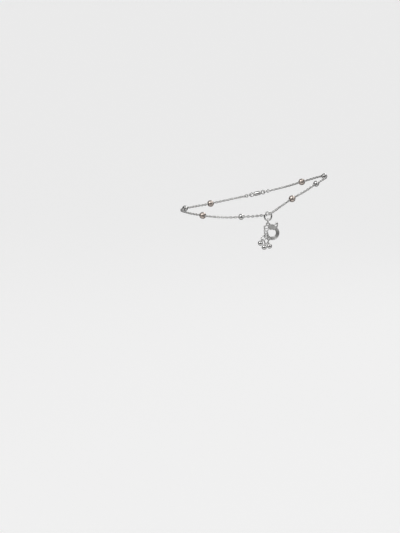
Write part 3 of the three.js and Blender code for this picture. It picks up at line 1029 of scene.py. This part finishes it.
    def eyelet_shape(self, p: Array, z: Array) -> Array:
        """A round eye drawn out to a point above."""
        outer = self.eyelet_hole + self.eyelet_wall
        eye = np.linalg.norm(p, axis=1) - outer
        end = self.eyelet_tip_radius
        neck = outer * self.eyelet_neck
        tip = bar_distance(p, vector(0, 0), vector(0, self.eyelet_tip - end), neck, end)
        drawn = smooth_min(eye, tip, self.melt)
        return slab_distance(drawn, z, self.eye_thick / 2, self.eyelet_edge)

    def leaf_shape(self, p: Array, z: Array) -> Array:
        """The leaf's outline drawn in about its middle and grown again, so its corners round."""
        corners = np.array(self.leaf)
        middle = corners.mean(axis=0)
        drawn_in = middle + (corners - middle) * self.leaf_share
        flat = polygon_distance(p, drawn_in) - self.leaf_growth
        return slab_distance(flat, z, self.thick / 2, self.leaf_edge)

    def shape(self, q: Array) -> Array:
        """Distance to the whole charm: everything melted together, less its holes."""
        p, z = q[:, :2], q[:, 2]
        ribbed = self.thick / 2 + self.relief
        scrolls = [(*self.joints[a], *self.joints[b], width) for a, b, width in self.scrolls]
        parts = [
            self.crescent_shape(p, z),
            self.boat_shape(p, z),
            self.bars_shape(p, z, scrolls, self.scroll_thick / 2),
            self.bars_shape(p, z, self.rims, ribbed),
            self.leaf_shape(p, z),
            self.bars_shape(p, z, [self.stem], self.thick / 2),
            self.eyelet_shape(p, z),
        ]
        for x, y, radius in self.scallops:
            disc = np.hypot(p[:, 0] - x, p[:, 1] - y) - radius
            parts.append(slab_distance(disc, z, ribbed, self.scallop_edge))
        for x, y, size in self.grains:
            reach = np.sqrt((p[:, 0] - x) ** 2 + (p[:, 1] - y) ** 2 + z**2)
            parts.append(reach - size / 2)
        whole = parts[0]
        for part in parts[1:]:
            whole = smooth_min(whole, part, self.melt)
        eye = np.linalg.norm(p - self.right_eye, axis=1) - self.right_eye_hole
        slot = self.slot.outline(p)
        for hole, wall in ((eye, self.right_eye_wall), (slot, self.slot.wall)):
            rim = slab_distance(hole - wall, z, self.eye_thick / 2, self.eye_edge)
            whole = smooth_min(whole, rim, self.melt)
        for hole in (np.linalg.norm(p, axis=1) - self.eyelet_hole, eye, slot):
            whole = smooth_max(whole, -hole, self.melt)
        return whole

    def surface(self) -> Surface:
        """The charm's skin in its own coordinates."""
        return skin_of(self.shape, vector(*self.skin_low), vector(*self.skin_high), self.skin_step)


# The bells


@dataclass
class Bell:
    """A hollow ball with a slit below and a loop on top, about its own centre, loop along +y."""

    size: float = 3
    wall: float = 0.28
    slit: float = 0.34
    slit_top: float = -0.8
    loop: RoundRing = RoundRing(0.58, 0.36)
    neck: float = 0.12
    hollow_edge: float = 0.03
    slit_edge: float = 0.08
    skin_step: float = 0.072
    skin_room: float = 0.2

    def loop_centre(self) -> float:
        """The height of the loop's centre over the ball's."""
        return self.size / 2 + self.loop.radius

    def shape(self, p: Array) -> Array:
        """Distance to the ball and loop, less the hollow and the slit."""
        reach = np.linalg.norm(p, axis=1)
        loop = self.loop.distance(p - vector(0, self.loop_centre(), 0))
        outside = smooth_min(reach - self.size / 2, loop, self.neck)
        shell = smooth_max(outside, self.size / 2 - self.wall - reach, self.hollow_edge)
        slit = np.maximum(np.abs(p[:, 2]) - self.slit / 2, p[:, 1] - self.slit_top)
        return smooth_max(shell, -slit, self.slit_edge)

    def surface(self) -> Surface:
        """The bell's skin about its own centre."""
        half = self.size / 2 + self.skin_room
        top = self.loop_centre() + self.loop.radius + self.loop.wire
        low, high = vector(-half, -half, -half), vector(half, top, half)
        return skin_of(self.shape, low, high, self.skin_step)


@dataclass(frozen=True)
class Hook:
    """A point on a wire that something hangs from: the point, the way it runs, its thickness."""

    point: Array
    wire: Array
    thick: float


# The pendant


@dataclass
class Pendant:
    """All that swings below the jump ring. Its own x points right, y up and z to the front."""

    jump_ring: JumpRing
    charm: Charm = field(default_factory=Charm)
    bell: Bell = field(default_factory=Bell)
    connector: RoundRing = RoundRing(1.52, 0.6)
    left_hook: float = 150
    left_way: Triple = (-0.51, -0.86, 0)
    middle_way: Triple = (-0.31, -0.95, 0)
    right_way: Triple = (0.44, -0.9, 0)
    right: RoundRing = RoundRing(1.2, 0.54)
    right_ring_way: Triple = (-0.16, -1, 0)
    right_turn: float = 12
    link_length: float = 3.4
    link_width: float = 1.7
    link_wire: float = 0.44
    link_hook: float = 110
    link_way: Triple = (0.38, -0.92, 0)
    link_ease: float = 0.05

    def placed(self, surface: Surface) -> Surface:
        """A surface of the pendant, taken to the frame: x stays, y turns up, z to the front."""
        origin = self.jump_ring.centre() - UP * self.jump_ring.ring.radius
        turned = surface.points @ np.array([[1, 0, 0], [0, 0, 1], [0, -1, 0]], dtype=float)
        return Surface(origin + turned, surface.faces, surface.recess)

    def put(self, name: str, surface: Surface, finish: MetalFinish, node: str) -> None:
        """Makes one piece of the pendant."""
        put(name, self.placed(surface), finish, Body.PENDANT, node)

    def connector_drop(self) -> float:
        """How far the small ring's centre lies below the jump ring's wire."""
        return self.connector.bore - self.jump_ring.ring.wire / 2 - SWING_GAP

    def eyelet(self) -> Array:
        """The centre of the charm's eyelet hole."""
        bore = self.connector.bore - HANG_GAP
        rise = math.sqrt(bore**2 - (self.charm.eye_thick / 2) ** 2)
        return vector(0, -self.connector_drop() - rise - self.charm.eyelet_hole, 0)

    def on_left_ring(self, angle: float) -> Hook:
        """The left ring at this angle from its crossing with the charm."""
        slot = self.charm.slot
        turn = math.radians(angle)
        reach = slot.along() * math.cos(turn) + slot.down() * math.sin(turn)
        wire = slot.down() * math.cos(turn) - slot.along() * math.sin(turn)
        return Hook(self.slot_ring_centre() + reach * slot.ring.radius, wire, slot.ring.wire)

    def hung_bell(self, skin: Surface, hook: Hook, way: Triple) -> Surface:
        """The bell, hung from a hook with its loop over the hook's wire."""
        down = unit(vector(*way))
        top = self.bell.loop_centre() + self.bell.loop.bore
        drop = top - hook.thick / 2 - HANG_GAP
        return skin.placed(hook.point + down * drop, -down, hook.wire)

    def slot_ring_centre(self) -> Array:
        """The centre of the ring in the charm's slot."""
        return self.eyelet() + vector(self.charm.slot.x, self.charm.slot.y, 0)

    def small_ring(self) -> None:
        """Makes the ring between the jump ring and the charm's eyelet."""
        x, y = np.eye(3)[:2]
        placed = self.connector.surface().placed(-y * self.connector_drop(), y, x)
        self.put("small_ring", placed, SILVER, "connector_ring")

    def left_ring(self) -> None:
        """Makes the ring in the charm's slot."""
        slot = self.charm.slot
        normal = np.cross(slot.along(), slot.down())
        ring = slot.ring.surface().placed(self.slot_ring_centre(), slot.along(), normal)
        self.put("left_bell_ring", ring, SILVER, "bell_ring_left")

    def right_ring(self) -> Hook:
        """Makes the ring in the charm's right eye, and gives the place where its bell hangs."""
        way = unit(vector(*self.right_ring_way))
        turn = math.radians(self.right_turn)
        normal = vector(math.cos(turn), 0, math.sin(turn))
        bore = self.right.bore - EYE_GAP
        drop = self.charm.right_eye_hole + math.sqrt(bore**2 - (self.charm.eye_thick / 2) ** 2)
        centre = self.eyelet() + vector(*self.charm.right_eye, 0) + way * drop
        ring = self.right.surface().placed(centre, -way, normal)
        self.put("right_bell_ring", ring, SILVER, "bell_ring_right")
        return Hook(centre + way * self.right.radius, np.cross(normal, way), self.right.wire)

    def long_link(self) -> Hook:
        """Makes the link on the left ring, and gives the place where the middle bell hangs.

        The link is a round ring whose two halves are moved apart, eased by tanh at the middle.
        """
        hook = self.on_left_ring(self.link_hook)
        way = unit(vector(*self.link_way))
        drop = self.link_length / 2 - self.link_wire - hook.thick / 2 - HANG_GAP
        centre = hook.point + way * drop
        straight = (self.link_length - self.link_width) / 2
        link = RoundRing((self.link_width - self.link_wire) / 2, self.link_wire).surface()
        link.points[:, 1] += straight * np.tanh(link.points[:, 1] / self.link_ease)
        self.put("long_link", link.placed(centre, -way, hook.wire), SILVER, "bell_link")
        reach = (self.link_length - self.link_wire) / 2
        return Hook(centre + way * reach, np.cross(way, hook.wire), self.link_wire)

    def build(self) -> None:
        """Makes the small ring, the charm, the bell rings, the long link and the bells."""
        self.small_ring()
        skin = self.charm.surface()
        skin.points = skin.points + self.eyelet()
        self.put("pierced_charm", skin, CAST_SILVER, "charm")
        self.left_ring()
        right = self.right_ring()
        middle = self.long_link()
        skin = self.bell.surface()
        skin.recess = None
        bells = (
            ("left", self.on_left_ring(self.left_hook), self.left_way),
            ("middle", middle, self.middle_way),
            ("right", right, self.right_way),
        )
        for name, hook, way in bells:
            self.put(f"{name}_bell", self.hung_bell(skin, hook, way), SILVER, f"bell_{name}")


# The studio


def facing(place: Array, back: Array) -> Matrix:
    """The place and turn of a camera or lamp that looks away from back, with its top upwards."""
    matrix = np.eye(4)
    matrix[:3, :3] = basis(UP - back * back[2], back).T
    matrix[:3, 3] = place * MM
    return Matrix(matrix.tolist())


@dataclass(frozen=True)
class Bands:
    """What metal mirrors of its surround: a bright band in front, a dimmer one behind, else dark.

    Each pair is where a change begins and ends, by a depth that grows from front to back.
    """

    front_ends: Pair
    front_fades: Pair
    front_loss: float
    front_light: float
    back_begins: Pair
    back_ends: Pair
    back_light: float

    def light(self, depth: Shade) -> Shade:
        """The light at this depth."""
        front = 1 - depth.eased(*self.front_ends)
        front = front * (1 - (0 - depth).eased(*self.front_fades) * self.front_loss)
        back = depth.eased(*self.back_begins) * (1 - depth.eased(*self.back_ends))
        return front * self.front_light + back * self.back_light


# The floor's depths are metres from the loop's middle, and the sky's are shares of the way looked
FLOOR_BANDS = Bands(
    front_ends=(-0.06, 0.02),
    front_fades=(0.13, 0.26),
    front_loss=0.88,
    front_light=0.6,
    back_begins=(0.03, 0.08),
    back_ends=(0.13, 0.26),
    back_light=0.25,
)
SKY_BANDS = Bands(
    front_ends=(-0.3, 0.05),
    front_fades=(0.52, 0.8),
    front_loss=0.93,
    front_light=1.0,
    back_begins=(0.2, 0.45),
    back_ends=(0.6, 0.85),
    back_light=0.4,
)
LEAST_LIGHT = 0.03
WHITE = (1, 1, 1, 1)


@dataclass
class Studio:
    """A pale floor, soft light from above and both sides, and the camera."""

    floor_height: float = -150
    floor_reach: float = 14000
    floor_glow: float = 0.57
    floor_grey: float = 0.5
    sky_seen: float = 0.85

    # How the sky grows brighter upwards
    sky_rise: Pair = (0.1, 0.6)
    sky_low: float = 0.28
    sky_gain: float = 0.54

    # Ways to the two bright spots, how near to them a way has to point, and their light
    glints: tuple[Triple, ...] = ((-0.5, -0.55, 0.67), (0.5, 0.55, 0.67))
    glint_edge: Pair = (0.91, 0.97)
    glint_light: float = 1.1
    eye: Triple = (-31.95, -1485.40, 165.135)
    target: Triple = (-31.95, 0, -43.62)
    lens: float = 168.855
    sensor: float = 36
    clip: Pair = (0.05, 50)

    # Name, place, size and power of each soft light
    softboxes: tuple[tuple[str, Triple, float, float], ...] = (
        ("key_light", (-420, -520, 620), 260, 0.6),
        ("side_light", (560, -240, 260), 200, 0.25),
        ("back_light", (300, 560, 420), 220, 0.3),
    )

    def camera(self) -> None:
        """The camera, at the photograph's angle."""
        data = bpy.data.cameras.new("camera")
        data.lens = self.lens
        data.sensor_width = self.sensor
        data.clip_start, data.clip_end = self.clip
        camera = bpy.data.objects.new("camera", data)
        eye, target = vector(*self.eye), vector(*self.target)
        camera.matrix_world = facing(eye, unit(eye - target))
        bpy.context.scene.collection.objects.link(camera)
        bpy.context.scene.camera = camera

    def floor(self) -> None:
        """A wide matt floor, which is pale all over where it is seen directly."""
        reach, height = self.floor_reach * MM, self.floor_height * MM
        mesh = bpy.data.meshes.new("floor")
        corners = [(-reach, -reach, height), (reach, -reach, height)]
        corners += [(reach, reach, height), (-reach, reach, height)]
        mesh.from_pydata(corners, [], [(0, 1, 2, 3)])
        paint = bpy.data.materials.new("floor_paint")
        paint.use_nodes = True
        nodes = NodeTree(paint.node_tree)
        place = nodes.add("ShaderNodeTexCoord", output="Object")
        depth = nodes.add("ShaderNodeSeparateXYZ", {"Vector": place}, 1)
        share = FLOOR_BANDS.light(depth) + LEAST_LIGHT
        dark, bright, glow = (
            nodes.add("ShaderNodeEmission", {"Strength": light})
            for light in (0.0, 1.0, self.floor_glow)
        )
        mirrored = nodes.add("ShaderNodeMixShader", {0: share, 1: dark, 2: bright})
        grey = (self.floor_grey, self.floor_grey, self.floor_grey, 1)
        paper = nodes.add("ShaderNodeBsdfDiffuse", {"Color": grey})
        seen = nodes.add("ShaderNodeAddShader", {0: paper, 1: glow})
        both = nodes.seen_or_mirrored(seen, mirrored)
        nodes.add("ShaderNodeOutputMaterial", {"Surface": both})
        mesh.materials.append(paint)
        floor = bpy.data.objects.new("floor", mesh)
        bpy.context.scene.collection.objects.link(floor)

    def sky(self) -> None:
        """The surround, near white where it is seen directly, with two bright spots in metal."""
        world = bpy.data.worlds.new("studio")
        world.use_nodes = True
        nodes = NodeTree(world.node_tree)
        way = nodes.add("ShaderNodeTexCoord", output="Generated")
        height = nodes.add("ShaderNodeSeparateXYZ", {"Vector": way}, 2)
        depth = nodes.add("ShaderNodeSeparateXYZ", {"Vector": way}, 1)
        level = self.sky_low + height.eased(*self.sky_rise) * self.sky_gain
        light = SKY_BANDS.light(depth) * level + LEAST_LIGHT
        for glint in self.glints:
            ways = {0: way, 1: tuple(unit(vector(*glint)))}
            toward = nodes.add("ShaderNodeVectorMath", ways, "Value", operation="DOT_PRODUCT")
            light = light + toward.eased(*self.glint_edge) * self.glint_light
        mirrored, seen = (
            nodes.add("ShaderNodeBackground", {"Color": WHITE, "Strength": strength})
            for strength in (light, self.sky_seen)
        )
        both = nodes.seen_or_mirrored(seen, mirrored)
        nodes.add("ShaderNodeOutputWorld", {"Surface": both})
        bpy.context.scene.world = world

    def softbox(self, name: str, place: Triple, size: float, power: float) -> None:
        """A square soft light that faces the anklet."""
        data = bpy.data.lights.new(name, "AREA")
        data.shape = "SQUARE"
        data.size = size * MM
        data.energy = power
        light = bpy.data.objects.new(name, data)
        light.matrix_world = facing(vector(*place), unit(vector(*place)))
        bpy.context.scene.collection.objects.link(light)

    def build(self) -> None:
        """Makes the camera, the floor, the sky and the lights."""
        self.camera()
        self.floor()
        self.sky()
        for softbox in self.softboxes:
            self.softbox(*softbox)
        settings = bpy.context.scene.view_settings
        settings.view_transform = "Standard"
        settings.look = "None"


def main() -> None:
    """Builds the anklet over its solids, then the studio."""
    logging.basicConfig(level=logging.INFO, format="%(name)s: %(message)s")
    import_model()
    clasp = Clasp()
    chain = CableChain(clasp)
    jump_ring = JumpRing()
    clasp.build()
    chain.build()
    route = chain.route()
    for bead in BEADS:
        bead.build(route)
    jump_ring.build()
    Pendant(jump_ring).build()
    Studio().build()


if __name__ == "__main__":
    main()
